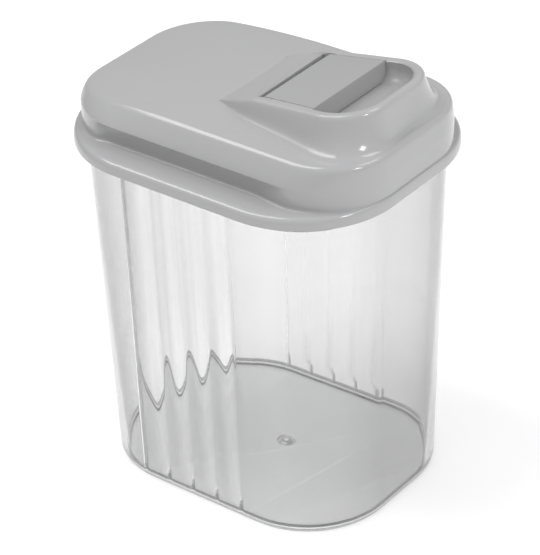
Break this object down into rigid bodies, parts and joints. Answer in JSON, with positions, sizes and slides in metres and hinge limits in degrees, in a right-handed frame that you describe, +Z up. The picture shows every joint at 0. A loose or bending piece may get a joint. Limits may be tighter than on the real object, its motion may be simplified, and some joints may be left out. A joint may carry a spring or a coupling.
{
  "type": "cereal container",
  "caption": "Clear tapered container with reeded sides, a lift-off grey lid with side grip recesses and a raised pouring spout closed by a hinged flap.",
  "frame": {"origin": "middle of the base, on the surface that the container stands on", "axes": "+Z up, spout and front towards -Y, width along X"},
  "size_m": [0.1336, 0.1652, 0.2144],
  "materials": {
    "clear_plastic": "clear, high gloss, injection moulded",
    "lid_plastic": "light neutral grey, semi-gloss",
    "flap_plastic": "light neutral grey, semi-gloss"
  },
  "bodies": {
    "container": {"container": "clear_plastic"},
    "lid": {"lid": "lid_plastic"},
    "flap": {"flap": "flap_plastic"}
  },
  "joints": [
    {"name": "lid_lift", "type": "slide", "parent": "container", "child": "lid", "axis": [0, 0, 1], "range_m": [0, 0.06]},
    {"name": "flap_hinge", "type": "hinge", "parent": "lid", "child": "flap", "pos_m": [0, -0.0196, 0.2043], "axis": [-1, 0, 0], "range_deg": [0, 115]}
  ]
}
